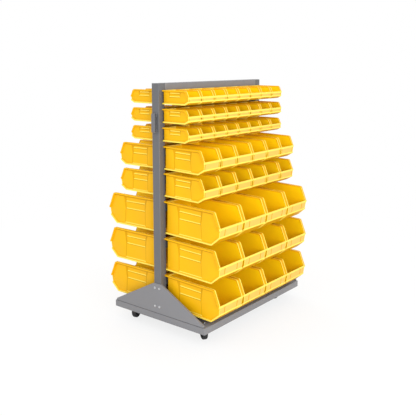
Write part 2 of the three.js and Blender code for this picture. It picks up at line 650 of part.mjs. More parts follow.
function caster({ name, x, y, trail }) {
  const group = new THREE.Group();
  group.position.set(x, y, 0);
  const swivel = new THREE.Group();
  swivel.rotation.z = THREE.MathUtils.degToRad(trail);
  swivel.add(
    namedMesh(`${name}_caster_fork`, casterFork(), zinc),
    namedMesh(`${name}_caster_wheel`, casterWheel(), blackRubber),
    namedMesh(`${name}_caster_axle`, casterAxle(), zinc));
  group.add(
    namedMesh(`${name}_caster_top_plate`, casterTopPlate(), zinc),
    namedMesh(`${name}_caster_kingpin`, kingpin(), zinc),
    swivel);
  return group;
}

const cart = new THREE.Group();
const backSide = binSide('back');
backSide.rotation.z = Math.PI;
const rightEnd = rackEnd('right');
rightEnd.rotation.z = Math.PI;
cart.add(
  namedMesh('base_tray', baseTray(), greyPaint),
  namedMesh('header', header(), greyPaint),
  rackEnd('left'),
  rightEnd,
  ...ROWS.map(({ rim }, index) => (
    namedMesh(`cross_rail_${index + 1}`, crossRail(rim), greyPaint))),
  binSide('front'),
  backSide,
  ...casterPlaces.map(caster));

export default cart;
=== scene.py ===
"""Looks of the mobile bin cart: yellow hang-on bins, a grey powder-coated rack and its casters.

Sizes are in millimetres, as in the CAD source, and each finished mesh is scaled to metres. The rack runs
along X, its front faces -Y, and the origin is on the floor under its middle.
"""

import math
from dataclasses import dataclass

import bmesh
import bpy
from mathutils import Matrix, Vector


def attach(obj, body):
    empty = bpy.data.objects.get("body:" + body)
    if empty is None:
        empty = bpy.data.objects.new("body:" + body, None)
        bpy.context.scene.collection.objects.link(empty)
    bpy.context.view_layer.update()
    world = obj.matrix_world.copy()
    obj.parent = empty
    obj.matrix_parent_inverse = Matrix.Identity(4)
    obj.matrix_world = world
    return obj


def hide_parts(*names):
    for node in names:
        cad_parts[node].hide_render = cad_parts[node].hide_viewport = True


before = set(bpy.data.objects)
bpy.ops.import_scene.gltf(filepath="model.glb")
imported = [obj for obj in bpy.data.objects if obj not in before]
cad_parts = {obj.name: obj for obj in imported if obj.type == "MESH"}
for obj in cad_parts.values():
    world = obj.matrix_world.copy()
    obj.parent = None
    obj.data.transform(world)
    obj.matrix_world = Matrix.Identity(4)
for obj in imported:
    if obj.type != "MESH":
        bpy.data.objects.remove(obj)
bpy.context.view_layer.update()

METRE = 1000
SEAT_GAP = 0.3


@dataclass(frozen=True)
class Bin:
    """The facts of one bin size.

    The droop is in degrees. The foot's share is of the height and the grooves' share of the width, and
    foot_tier is the depth of the lowest step in the side panels.
    """

    length: float
    height: float
    count: int
    margin: float
    droop: float
    foot_share: float
    groove_share: float
    foot_tier: float

    @property
    def pitch(self):
        return (BASE_LENGTH - 2 * self.margin + BIN_SPACING) / self.count

    @property
    def width(self):
        return self.pitch - BIN_SPACING

    @property
    def back(self):
        """From the back of the rim to the back wall."""
        return self.length * RIM_BACK_SHARE

    @property
    def floor_end(self):
        """From the back of the rim to the end of the floor."""
        return self.length * FLOOR_END_SHARE

    @property
    def front_foot(self):
        """From the back of the rim to the foot of the front wall."""
        return self.length * FRONT_FOOT_SHARE

    @property
    def rim_end(self):
        """From the back of the rim to the bend where it slopes down to the lip."""
        return self.length * RIM_END_SHARE

    @property
    def foot_rise(self):
        """Height of the foot of the front wall."""
        return self.height * self.foot_share

    @property
    def lip(self):
        """Height of the front lip."""
        return self.height * LIP_HEIGHT_SHARE

    @property
    def wall_half(self):
        """From the bin's middle to the plane where its side walls meet the rim."""
        return self.width / 2 - RIM_SIDE - self.width * RIM_SIDE_SHARE

    @property
    def corner_round(self):
        """Radius of the corners and bends of the walls."""
        return self.height * CORNER_SHARE + CORNER_LEAST


# Base tray
BASE_LENGTH = 914
BASE_DEPTH = 645
TRAY_SHEET = 2
TRAY_BEND = 3
SKIRT_HEIGHT = 35
DECK_TOP = 98.4
DECK_SEAT = DECK_TOP + SEAT_GAP

# Triangular end plates
PLATE_SHEET = 3
PLATE_BEND = 2.5
PLATE_RISE = 165
PLATE_TOE = 11
PLATE_INSET = 10
PLATE_HALF = BASE_DEPTH / 2 - PLATE_INSET
PLATE_LIP = 12
# Height of the strip of painted shadow along the plates' foot
PLATE_SHADOW_STRIP = 2.4
FLANGE_WIDTH = 32
FLANGE_INSET = 6
FLANGE_LAP = 1

# Posts and header
POST_TOP = 1318.9
POST_WIDTH = 44.5
POST_DEPTH = 49
POST_WALL = 2
POST_CORNER = 3.5
POST_OUTER = BASE_LENGTH / 2 - PLATE_SHEET - SEAT_GAP
POST_INNER = POST_OUTER - POST_WIDTH
HEADER_HEIGHT = 38
HEADER_WALL = 2
HEADER_BEND = 2.5

# Rows of bins, counted from the top
BIN_SPACING = 1.6
BIN_BACK = 25
BACK_DROOP_SHARE = 0.17
RIM_HEIGHTS = (1284.4, 1189.4, 1094.4, 997.9, 855.9, 707.9, 509.4, 308.9)
ROW_SIZES = ("small", "small", "small", "medium", "medium", "large", "large", "large")
LOOSE_ROWS = (0, 3, 5)
BINS = {
    "small": Bin(175, 71.5, 8, margin=27, droop=0.2, foot_share=0.165, groove_share=0.41, foot_tier=0),
    "medium": Bin(270, 122, 6, margin=32.5, droop=1.3, foot_share=0.175, groove_share=0.41, foot_tier=1.2),
    "large": Bin(367, 173.5, 4, margin=32.5, droop=1.8, foot_share=0.235, groove_share=0.25, foot_tier=1.2),
}

# Shares of a bin's length and height
RIM_END_SHARE = 0.897
LIP_HEIGHT_SHARE = 0.525
FRONT_FOOT_SHARE = 0.98
FLOOR_END_SHARE = 0.86
DRAFT_SHARE = 0.02
CORNER_SHARE = 0.03
RIM_SHADE_SHARE = 0.045
RIM_BACK_SHARE = 0.043

# Bin walls
BIN_WALL = 1.6
CORNER_LEAST = 2
LINER_LAP = 0.3
PANEL_PROUD = 2.8
TIER_STEP = 1.4
STEP_WIDTH = 4.6
STEP_SHADE = 3.2
GROOVE_WIDTH = 5.5
GROOVE_DEPTH = 1.6

# The steps pressed into a side wall: each level is a share of the height, down from the rim, with the
# places of the panel's back and front crease at that level as shares of the length
PANEL_LEVELS = (
    (0.03, 0.207, 0.694),
    (0.242, 0.243, 0.684),
    (0.461, 0.256, 0.669),
    (0.93, 0.261, 0.689),
)

# Bin rim. Its side is a fixed width and a share of the bin's width
RIM_SIDE = 4.5
RIM_SIDE_SHARE = 0.033
RIM_BAND = 7
RIM_LIP = 3
RIM_OUT = 1.6
RIM_INNER = 2.9
RIM_UNDER_SHARE = 0.6
RIM_BEAD_SHARE = 0.42
RIM_DISH = 1.3
DISH_SLOPE = 1
RIM_ROUND = 1.7
RIM_CORNER = 3.5
MOUTH_BEND = 8

# Bin ledges, cheeks and hook
LEDGE_OUT = 6
LEDGE_BITE = 1
LEDGE_FRONT = 1.5
LEDGE_SLANT = 2
LEDGE_HEIGHT = 7.5
LEDGE_BACK = 5
CHEEK_OUT = 3.5
CHEEK_FOOT_OUT = 0.5
CHEEK_FOOT_BACK = 2
CHEEK_FOOT_FRONT = 1.2
CHEEK_SHEET = 2.5
CHEEK_BELOW_LIP = 1
HOOK_DROP = 17
HOOK_SHEET = 2.5
HOOK_DEPTH = 8.5
HOOK_SIDE = 23
HOOK_FRONT = -2.5

# Handles
HANDLE_CENTRE = 1118
HANDLE_HEIGHT = 100
HANDLE_WIDTH = 23
HANDLE_REACH = 19
HANDLE_SHEET = 3
HANDLE_BEND = 8
HANDLE_FOOT = 18
HANDLE_ROUND = 0.8

# Casters
WHEEL_RADIUS = 38
WHEEL_WIDTH = 26
TREAD_ROUND = 7
HUB_RADIUS = 13
HUB_PROUD = 1.5
HUB_CHAMFER = 1
BORE_GAP = 0.4
AXLE_RADIUS = 4
AXLE_LAP = 1
AXLE_HEAD = 4
AXLE_HEAD_RADIUS = 7
CASTER_TRAIL = 28
CASTER_INSET_X = 93
CASTER_INSET_Y = 90
CASTER_X = BASE_LENGTH / 2 - CASTER_INSET_X
CASTER_Y = BASE_DEPTH / 2 - CASTER_INSET_Y
FORK_SHEET = 2.5
FORK_HALF = 24
FORK_CHEEK = 12
EYE_RADIUS = 12
ARM_GAP = 2.5
ARM_INNER = WHEEL_WIDTH / 2 + ARM_GAP
CROWN_TOP = 86.8
CROWN_BOTTOM = 84.3
CROWN_ROUND = 1.2
DUST_RING = (8, 25)
DUST_RING_SHEET = 0.5
TOP_PLATE_LENGTH = 94
TOP_PLATE_DEPTH = 105
TOP_PLATE_BOTTOM = 93.1
TOP_PLATE_TOP = 96.1
TOP_PLATE_CORNER = 8
RACE_BOTTOM = 87.1
RACE_BORE = 6
RACE_RADIUS = 24
RACE_CHAMFER = 2
RACE_LAP = 1
KINGPIN_RADIUS = 5
KINGPIN_HEAD_RADIUS = 9
KINGPIN_HEAD_BOTTOM = 81
KINGPIN_HEAD_TOP = 84
CASTER_BOLT_LENGTH = 73
CASTER_BOLT_DEPTH = 87

# The wheel's dished web: one corner out from the hub and two in from the rim, each with its depth
WEB_AT_HUB = (1, 6)
WEB_AT_RIM = ((5, 5), (2, 0.5))

# Where each caster stands, and the way it points in degrees
CASTERS = {
    "front_left": (-CASTER_X, -CASTER_Y, 236),
    "front_right": (CASTER_X, -CASTER_Y, 180),
    "back_left": (-CASTER_X, CASTER_Y, 198),
    "back_right": (CASTER_X, CASTER_Y, 170),
}

# Bolts and screws
BOLT_HEAD = 4
BOLT_HEAD_RADIUS = 5
WASHER_SHEET = 1.2
WASHER_RADIUS = 6.2
SHANK_LAP = 0.5
POST_BOLT_SPREAD = 31
POST_BOLT_RISE = 101
POST_BOLT_FOOT = 39
POST_BOLT_SHANK = 8
STUD_PLATE_SHEET = 2.5
STUD_PLATE_EDGE = 5
FOOT_BOLT_INSET = 40
FOOT_BOLT_SHANK = 9
CASTER_BOLT_END = 4
SCREW_RADIUS = 2
SCREW_SHANK = 9
SCREW_HEAD = 2.4
SCREW_HEAD_RADIUS = 4
SCREW_CROWN_RADIUS = 3

# Radii of the small roundings
FINE_ROUND = 0.6
SMALL_ROUND = 0.7
PLAIN_ROUND = 1

# The least part of its normal with which a face counts as square on, facing front or facing up
SQUARE_ON = 0.9
FRONTWARD = 0.8
UPWARD = 0.2

# Slopes past which the bins' faces get a painted highlight or painted shade, and where their walls and lip
# turn a corner
HIGHLIGHT_SLOPE = 0.12
SHADE_SLOPE = -0.3
CORNER_TURN = 0.3
LIP_TURN = 0.5

# Angles between faces, in radians, past which an edge is rounded
GENTLE_ANGLE = 0.4
SHARP_ANGLE = 0.6
STEEP_ANGLE = 1

# Angle between faces, in degrees, past which shading is sharp
SMOOTH_ANGLE = 35

# How near corners merge, a cut snaps to a corner, and two places count as one, closely and loosely
MERGE_SNAP = 0.001
CUT_SNAP = 0.01
NEAR = 0.1
NEARBY = 1

# Detail of the two noises in the finishes
BROAD_DETAIL = 3
FINE_DETAIL = 2

# Camera, as the photograph was taken
CAMERA_PLACE = (-2.81, -2.2188, 1.4306)
CAMERA_YAW = math.radians(51.469)
CAMERA_PITCH = math.radians(-8.7)
CAMERA_LENS = 54.917
CAMERA_SENSOR = 36
CAMERA_SHIFT = -0.1202

# Lights and floor, in metres. Each softbox has its place, its size and its power in watts
SOFTBOXES = {
    "front_softbox": ((-1.7, -2.9, 1.2), 1.6, 50),
    "left_softbox": ((-3.6, -1.0, 1.9), 2.0, 6),
    "back_softbox": ((1.6, 3.6, 2.6), 2.4, 32),
}
SOFTBOX_AIM = (0, 0, 0.6)
WORLD_STRENGTH = 1.08
WHITE = (1, 1, 1, 1)
FLOOR_RADIUS = 14
FLOOR_COLOUR = (0.86, 0.86, 0.86, 1)
FLOOR_ROUGHNESS = 0.9
FLOOR_FADE = (0.8, 2.6)
FLOOR_GLOW = 0.8


# Materials


def grain_group():
    """Two sizes of noise in the object's own space: a shade mask and a height for a bump."""
    group = bpy.data.node_groups.new("moulded_grain", "ShaderNodeTree")
    face = group.interface
    for name, value in (("Broad Scale", 6), ("Fine Scale", 900), ("Fine Share", 0.5)):
        socket = face.new_socket(name=name, in_out="INPUT", socket_type="NodeSocketFloat")
        socket.default_value = value
    for name in ("Shade", "Height"):
        face.new_socket(name=name, in_out="OUTPUT", socket_type="NodeSocketFloat")
    nodes, links = group.nodes, group.links
    given = nodes.new("NodeGroupInput")
    shown = nodes.new("NodeGroupOutput")
    place = nodes.new("ShaderNodeTexCoord")
    broad = nodes.new("ShaderNodeTexNoise")
    broad.inputs["Detail"].default_value = BROAD_DETAIL
    fine = nodes.new("ShaderNodeTexNoise")
    fine.inputs["Detail"].default_value = FINE_DETAIL
    mix = nodes.new("ShaderNodeMix")
    links.new(place.outputs["Object"], broad.inputs["Vector"])
    links.new(place.outputs["Object"], fine.inputs["Vector"])
    links.new(given.outputs["Broad Scale"], broad.inputs["Scale"])
    links.new(given.outputs["Fine Scale"], fine.inputs["Scale"])
    links.new(given.outputs["Fine Share"], mix.inputs["Factor"])
    links.new(broad.outputs["Fac"], mix.inputs["A"])
    links.new(fine.outputs["Fac"], mix.inputs["B"])
    links.new(broad.outputs["Fac"], shown.inputs["Shade"])
    links.new(mix.outputs["Result"], shown.inputs["Height"])
    return group


def finish(name, dark, light, roughness, texture, metallic=0, specular=0.5):
    """A material whose colour and roughness wander a little and whose surface has a fine grain."""
    bump, scales = texture
    material = bpy.data.materials.new(name)
    material.use_nodes = True
    nodes, links = material.node_tree.nodes, material.node_tree.links
    shader = nodes["Principled BSDF"]
    shader.inputs["Metallic"].default_value = metallic
    shader.inputs["Specular IOR Level"].default_value = specular
    grain = nodes.new("ShaderNodeGroup")
    grain.node_tree = moulded_grain
    for socket, value in zip(("Broad Scale", "Fine Scale", "Fine Share"), scales):
        grain.inputs[socket].default_value = value
    colour = nodes.new("ShaderNodeMix")
    colour.data_type = "RGBA"
    colour.inputs["A"].default_value = (*dark, 1)
    colour.inputs["B"].default_value = (*light, 1)
    gloss = nodes.new("ShaderNodeMapRange")
    gloss.inputs["To Min"].default_value = roughness[0]
    gloss.inputs["To Max"].default_value = roughness[1]
    relief = nodes.new("ShaderNodeBump")
    relief.inputs["Strength"].default_value = bump[0]
    relief.inputs["Distance"].default_value = bump[1]
    links.new(grain.outputs["Shade"], colour.inputs["Factor"])
    links.new(colour.outputs["Result"], shader.inputs["Base Color"])
    links.new(grain.outputs["Shade"], gloss.inputs["Value"])
    links.new(gloss.outputs["Result"], shader.inputs["Roughness"])
    links.new(grain.outputs["Height"], relief.inputs["Height"])
    links.new(relief.outputs["Normal"], shader.inputs["Normal"])
    return material


moulded_grain = grain_group()

# Each texture has the strength and distance of its bump, then its broad scale, fine scale and fine share
PLASTIC_TEXTURE = ((0.15, 0.0004), (5, 700, 0.7))
COAT_TEXTURE = ((0.14, 0.0005), (4, 550, 0.8))
ZINC_TEXTURE = ((0.1, 0.0003), (60, 900, 0.5))
TREAD_TEXTURE = ((0.3, 0.0005), (30, 800, 0.5))

# The bins' plastic, then its copies with painted light and shade, in the order of their short names: dark
# and light colour, roughness, specular level
YELLOW, PAINTED_HIGHLIGHT, PAINTED_SHADE, PAINTED_FRONT_LIGHT, PAINTED_INSIDE_LIGHT, PAINTED_DISH_SHADE, SHADE = range(7)
BIN_PLASTICS = [
    finish(name, dark, light, roughness, PLASTIC_TEXTURE, specular=specular)
    for name, dark, light, roughness, specular in (
        ("yellow_bin_plastic", (0.82, 0.425, 0.002), (0.86, 0.465, 0.004), (0.36, 0.46), 0.16),
        ("yellow_bin_painted_highlight", (0.92, 0.69, 0.08), (0.95, 0.74, 0.1), (0.3, 0.4), 0.3),
        ("yellow_bin_painted_shade", (0.62, 0.31, 0.001), (0.68, 0.345, 0.002), (0.45, 0.55), 0.1),
        ("yellow_bin_painted_front_light", (0.82, 0.455, 0.07), (0.86, 0.505, 0.095), (0.36, 0.46), 0.22),
        ("yellow_bin_painted_inside_light", (0.99, 0.63, 0.003), (1.0, 0.68, 0.005), (0.4, 0.5), 0.12),
        ("yellow_rim_painted_dish_shade", (0.7, 0.35, 0.001), (0.75, 0.385, 0.002), (0.4, 0.5), 0.15),
        ("yellow_bin_painted_shadow_strips", (0.55, 0.275, 0.001), (0.6, 0.305, 0.002), (0.45, 0.55), 0.1),
    )
]
GREY_PAINT = finish(
    "grey_powder_coat", (0.19, 0.19, 0.202), (0.208, 0.208, 0.22), (0.38, 0.5), COAT_TEXTURE
)
POST_PAINT = finish(
    "post_powder_coat", (0.109, 0.109, 0.115), (0.123, 0.123, 0.129), (0.32, 0.42), COAT_TEXTURE
)
# Near-black paint on the cross rails: painted shade for the gap behind the bins
RAIL_SHADE_PAINT = finish("rail_painted_shade", (0.08, 0.08, 0.085), (0.1, 0.1, 0.105), (0.4, 0.5), COAT_TEXTURE)
FOOT_SHADOW_PAINT = finish("plate_foot_painted_shadow", (0.05, 0.05, 0.055), (0.065, 0.065, 0.07), (0.5, 0.6), COAT_TEXTURE)
HANDLE_PAINT = finish(
    "handle_powder_coat", (0.13, 0.13, 0.14), (0.15, 0.15, 0.16), (0.35, 0.45), COAT_TEXTURE
)
ZINC = finish("bright_zinc", (0.58, 0.59, 0.61), (0.72, 0.73, 0.74), (0.22, 0.38), ZINC_TEXTURE, metallic=1)
BLACK_TREAD = finish(
    "black_tread", (0.012, 0.012, 0.013), (0.022, 0.022, 0.023), (0.55, 0.75), TREAD_TEXTURE
)


# Shapes


def prism(bm, outline, low, high):
    """An outline of (y, z) points, drawn along X from low to high. Gives its new vertices."""
    corners = [bm.verts.new((low, y, z)) for y, z in outline]
    drawn = bmesh.ops.extrude_face_region(bm, geom=[bm.faces.new(corners)])["geom"]
    far = [item for item in drawn if isinstance(item, bmesh.types.BMVert)]
    bmesh.ops.translate(bm, verts=far, vec=(high - low, 0, 0))
    return corners + far


def block(bm, low, high):
    """A box between its lowest and highest corners."""
    low, high = Vector(low), Vector(high)
    place = Matrix.Translation((low + high) / 2) @ Matrix.Diagonal((*(high - low), 1))
    bmesh.ops.create_cube(bm, size=1, matrix=place)


def disc(bm, radius, low, high, sides, top_radius=None):
    """An upright round or many-sided body about Z."""
    place = Matrix.Translation((0, 0, (low + high) / 2))
    upper = radius if top_radius is None else top_radius
    bmesh.ops.create_cone(
        bm, cap_ends=True, segments=sides, radius1=radius, radius2=upper, depth=high - low, matrix=place
    )


def turned(profile, steps):
    """A closed outline of (radius, z) points spun about Z."""
    bm = bmesh.new()
    ring = [bm.verts.new((radius, 0, z)) for radius, z in profile]
    edges = [bm.edges.new((a, b)) for a, b in zip(ring, ring[1:] + ring[:1])]
    bmesh.ops.spin(
        bm, geom=ring + edges, cent=(0, 0, 0), axis=(0, 0, 1), angle=math.tau, steps=steps, use_merge=True
    )
    bmesh.ops.remove_doubles(bm, verts=bm.verts, dist=MERGE_SNAP)
    outwards(bm)
    return bm


def outwards(bm):
    """Turns every face of a shape outwards."""
    bmesh.ops.recalc_face_normals(bm, faces=bm.faces)


def open_faces(bm, is_open):
    """Takes away the faces that a test picks."""
    bmesh.ops.delete(bm, geom=[face for face in bm.faces if is_open(face)], context="FACES")


def cut_all(bm, point, normal):
    """Cuts a whole shape along a plane."""
    everything = [*bm.verts, *bm.edges, *bm.faces]
    bmesh.ops.bisect_plane(bm, geom=everything, dist=CUT_SNAP, plane_co=point, plane_no=normal)


def cut_faces(bm, faces, point, normal):
    """Cuts some faces along a plane. Gives the faces that it leaves."""
    around = {item for face in faces for item in [*face.verts, *face.edges]}
    cut = bmesh.ops.bisect_plane(
        bm, geom=[*faces, *around], dist=CUT_SNAP, plane_co=point, plane_no=normal
    )
    return [item for item in cut["geom"] if isinstance(item, bmesh.types.BMFace)]


def round_off(bm, width, steps=2, edges=None, from_angle=SHARP_ANGLE):
    """Rounds the edges whose faces meet at more than an angle in radians."""
    sharp = [
        edge
        for edge in (bm.edges if edges is None else edges)
        if edge.is_manifold and edge.calc_face_angle() > from_angle
    ]
    bmesh.ops.bevel(
        bm,
        geom=sharp,
        offset=width,
        offset_type="OFFSET",
        segments=steps,
        profile=0.5,
        affect="EDGES",
        clamp_overlap=True,
        material=-1,
    )


def middle(face):
    return face.calc_center_median()


def faces_down(face):
    return face.normal.z < -SQUARE_ON


def upright(edge):
    a, b = (v.co for v in edge.verts)
    return abs(a.z - b.z) > SQUARE_ON * (a - b).length


def along_x(edge):
    a, b = (v.co for v in edge.verts)
    return abs(a.x - b.x) > NEARBY


def join_into(bm, other, place=None):
    """Adds another shape to a shape, at a place, and frees it."""
    if place is not None:
        other.transform(place)
    passing = bpy.data.meshes.new("passing")
    other.to_mesh(passing)
    other.free()
    bm.from_mesh(passing)
    bpy.data.meshes.remove(passing)


def mesh_of(name, bm, materials):
    """The shape as a mesh in metres, smooth but for its sharp edges."""
    bm.transform(Matrix.Scale(1 / METRE, 4))
    mesh = bpy.data.meshes.new(name)
    bm.to_mesh(mesh)
    bm.free()
    for material in materials:
        mesh.materials.append(material)
    mesh.shade_smooth()
    mesh.set_sharp_from_angle(angle=math.radians(SMOOTH_ANGLE))
    return mesh


def piece(name, mesh, body, nodes):
    """A shown piece that rides on a body and stands for CAD nodes."""
    shown = bpy.data.objects.new(name, mesh)
    bpy.context.scene.collection.objects.link(shown)
    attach(shown, body)
    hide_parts(*nodes)


# Bins


def bin_outline(size, wall=0):
    """The side outline of a bin's body, drawn in by a wall, with its mouth just under the rim."""
    top = size.height - RIM_BAND / 2
    return [
        (size.back + wall, wall),
        (size.floor_end - wall / 2, wall),
        (size.front_foot - wall, size.foot_rise + wall / 2),
        (size.length - RIM_OUT - wall, size.lip - RIM_BAND / 2),
        (size.rim_end - RIM_BAND / 2 - wall, top),
        (size.back + wall, top),
    ]


def open_shell(outline, half, height):
    """An outline drawn to a width, narrower towards its foot, without the faces of its mouth."""
    bm = bmesh.new()
    prism(bm, outline, -half, half)
    for vert in bm.verts:
        vert.co.x *= 1 - DRAFT_SHARE * (1 - vert.co.z / height)
    outwards(bm)
    open_faces(bm, lambda face: face.normal.z > UPWARD and middle(face).z > height / 3)
    return bm


def sink(bm, faces, width, depth):
    """Sinks some faces. The slopes round them get a painted highlight where they face up and painted shade
    elsewhere.
    """
    slopes = bmesh.ops.inset_region(bm, faces=faces, thickness=width, depth=-depth, use_even_offset=True)
    bm.normal_update()
    for face in slopes["faces"]:
        face.material_index = PAINTED_HIGHLIGHT if face.normal.z > HIGHLIGHT_SLOPE else PAINTED_SHADE


def side_faces(bm, low=-math.inf, high=math.inf):
    """The faces of both side walls whose middles lie between two heights."""
    return [face for face in bm.faces if abs(face.normal.x) > SQUARE_ON and low < middle(face).z < high]


def press_side_panels(bm, size):
    """Sinks a panel into each side wall in steps, deepest at the top, between two bent creases.

    Below each of the two upper steps the panel gets a strip of painted shadow.
    """
    levels = [
        (size.height * (1 - down), size.length * back, size.length * front)
        for down, back, front in PANEL_LEVELS
    ]
    heights = [level for level, _, _ in levels]
    for height in heights:
        cut_faces(bm, side_faces(bm), (0, 0, height), (0, 0, 1))
    panel = []
    for upper, lower in zip(levels, levels[1:]):
        for crease in (1, 2):
            lean = upper[crease] - lower[crease]
            band = side_faces(bm, lower[0], upper[0])
            cut_faces(bm, band, (0, upper[crease], upper[0]), (0, upper[0] - lower[0], -lean))
        back, front = ((upper[crease] + lower[crease]) / 2 for crease in (1, 2))
        panel += [face for face in side_faces(bm, lower[0], upper[0]) if back < middle(face).y < front]
    shaded = []
    for ledge, lower in zip(heights[1:], heights[2:]):
        under = [face for face in panel if lower < middle(face).z < ledge]
        fresh = cut_faces(bm, under, (0, 0, ledge - STEP_SHADE), (0, 0, 1))
        panel = list({*panel, *fresh})
        shaded += [face for face in panel if ledge - STEP_SHADE < middle(face).z < ledge]
    steps = zip(reversed(heights[1:]), (size.foot_tier, TIER_STEP, TIER_STEP))
    for floor, depth in steps:
        if depth:
            sink(bm, [face for face in panel if middle(face).z > floor], STEP_WIDTH, depth)
    for face in shaded:
        face.material_index = SHADE


def front_faces(bm):
    """The faces of the upright front wall."""
    return [face for face in bm.faces if face.normal.y > FRONTWARD and face.normal.z < UPWARD]


def press_grooves(bm, size):
    """Sinks two upright grooves into the front wall, at the ends of its label panel."""
    places = [side * size.groove_share * size.width for side in (-1, 1)]
    for place in places:
        for edge in (-GROOVE_WIDTH / 2, GROOVE_WIDTH / 2):
            cut_faces(bm, front_faces(bm), (place + edge, 0, 0), (1, 0, 0))
    grooves = [
        face
        for face in front_faces(bm)
        if min(abs(middle(face).x - place) for place in places) < GROOVE_WIDTH / 2
    ]
    # Faces that face front get a paler yellow as painted light, and faces that face down painted shade
    for face in bm.faces:
        if face.normal.y > FRONTWARD:
            face.material_index = PAINTED_FRONT_LIGHT
        elif face.normal.z < SHADE_SLOPE:
            face.material_index = PAINTED_SHADE
    sink(bm, grooves, GROOVE_DEPTH / 3, GROOVE_DEPTH)
    # The grooves are painted shade
    for face in grooves:
        face.material_index = PAINTED_SHADE


def bin_tub(size):
    """The walls and floor: a pressed outer shell and a smooth inner one, joined at the mouth.

    The outer shell gets a strip of painted shadow under the rim.
    """
    half, height = size.wall_half, size.height
    bm = open_shell(bin_outline(size), half + PANEL_PROUD, height)
    press_side_panels(bm, size)
    under_rim = height * (1 - RIM_SHADE_SHARE) - RIM_BAND
    cut_faces(bm, side_faces(bm), (0, 0, under_rim), (0, 0, 1))
    # The strip under the rim is painted shadow
    for face in side_faces(bm, under_rim):
        face.material_index = SHADE
    press_grooves(bm, size)
    corners = [
        edge
        for edge in bm.edges
        if edge.is_manifold
        and max(abs(face.normal.x) for face in edge.link_faces) > SQUARE_ON
        and min(abs(face.normal.x) for face in edge.link_faces) < CORNER_TURN
        and min(abs(v.co.x) for v in edge.verts) > SQUARE_ON * half
    ]
    round_off(bm, size.corner_round, 3, corners, GENTLE_ANGLE)
    inner = open_shell(bin_outline(size, BIN_WALL), half - RIM_INNER + LINER_LAP, height)
    round_off(inner, size.corner_round, 3, from_angle=GENTLE_ANGLE)
    # The inner shell is a brighter yellow, painted light for the insides of the bins
    for face in inner.faces:
        face.material_index = PAINTED_INSIDE_LIGHT
    join_into(bm, inner)
    bmesh.ops.bridge_loops(bm, edges=[edge for edge in bm.edges if edge.is_boundary])
    outwards(bm)
    return bm


def bin_rim(size):
    """The broad rim round the mouth, dished between two beads, with painted shade in the dish and a painted
    highlight on the faces that face up or forward.
    """
    bm = bmesh.new()
    half, height, end = size.width / 2, size.height, size.rim_end
    under, lip_under = height - RIM_BAND, size.lip - RIM_BAND
    outline = [
        (0, under), (end - RIM_BAND * RIM_UNDER_SHARE, under), (size.length - 2 * RIM_LIP, lip_under),
        (size.length - RIM_OUT, lip_under), (size.length, size.lip),
        (size.length - RIM_LIP, size.lip + RIM_LIP), (end, height), (0, height),
    ]
    prism(bm, outline, -half, half)
    outwards(bm)
    bend = [edge for edge in bm.edges if along_x(edge) and abs(edge.verts[0].co.y - end) < RIM_BAND]
    round_off(bm, MOUTH_BEND, 5, bend)
    across = size.wall_half - RIM_INNER
    back, front = size.back + RIM_INNER, size.length - RIM_LIP
    for side in (across, -across):
        cut_all(bm, (side, 0, 0), (1, 0, 0))
    for place in (back, front):
        cut_all(bm, (0, place, 0), (0, 1, 0))
    open_faces(bm, lambda face: abs(middle(face).x) < across and back < middle(face).y < front)
    bmesh.ops.bridge_loops(bm, edges=[edge for edge in bm.edges if edge.is_boundary])
    outwards(bm)
    bead = RIM_BEAD_SHARE * (half - across)
    for side in (across + bead, -across - bead):
        cut_all(bm, (side, 0, 0), (1, 0, 0))
    cut_all(bm, (0, back - bead, 0), (0, 1, 0))
    # Faces that face up or forward get a painted highlight, the rest the plain yellow
    for face in bm.faces:
        face.material_index = PAINTED_HIGHLIGHT if face.normal.z > UPWARD or face.normal.y > LIP_TURN else YELLOW
    flat = [
        face
        for face in bm.faces
        if face.normal.z > UPWARD and middle(face).y < front
        and (abs(middle(face).x) > across + bead or middle(face).y < back - bead)
    ]
    slopes = bmesh.ops.inset_region(
        bm, faces=flat, thickness=DISH_SLOPE, depth=-RIM_DISH, use_even_offset=True
    )
    # The dish and its slopes get painted shade
    for face in [*flat, *slopes["faces"]]:
        face.material_index = PAINTED_DISH_SHADE
    corners = [edge for edge in bm.edges if upright(edge) and abs(edge.verts[0].co.x) > half - NEARBY]
    round_off(bm, RIM_CORNER, 2, corners)
    round_off(bm, RIM_ROUND, 2, from_angle=STEEP_ANGLE)
    # Faces that face up outside the dish get the painted highlight as well
    for face in bm.faces:
        if face.material_index != PAINTED_DISH_SHADE and face.normal.z > UPWARD:
            face.material_index = PAINTED_HIGHLIGHT
    return bm


def bin_hook(size):
    """The lip that hangs over the rail."""
    bm = bmesh.new()
    top = size.height - HOOK_DROP
    under = top - HOOK_SHEET
    tip = under - HOOK_DEPTH
    back = HOOK_FRONT - HOOK_SHEET
    root = size.back + BIN_WALL / 2
    half = size.width / 2 - HOOK_SIDE
    outline = [(root, under), (root, top), (back, top), (back, tip), (HOOK_FRONT, tip), (HOOK_FRONT, under)]
    prism(bm, outline, -half, half)
    outwards(bm)
    round_off(bm, FINE_ROUND, 1)
    return bm


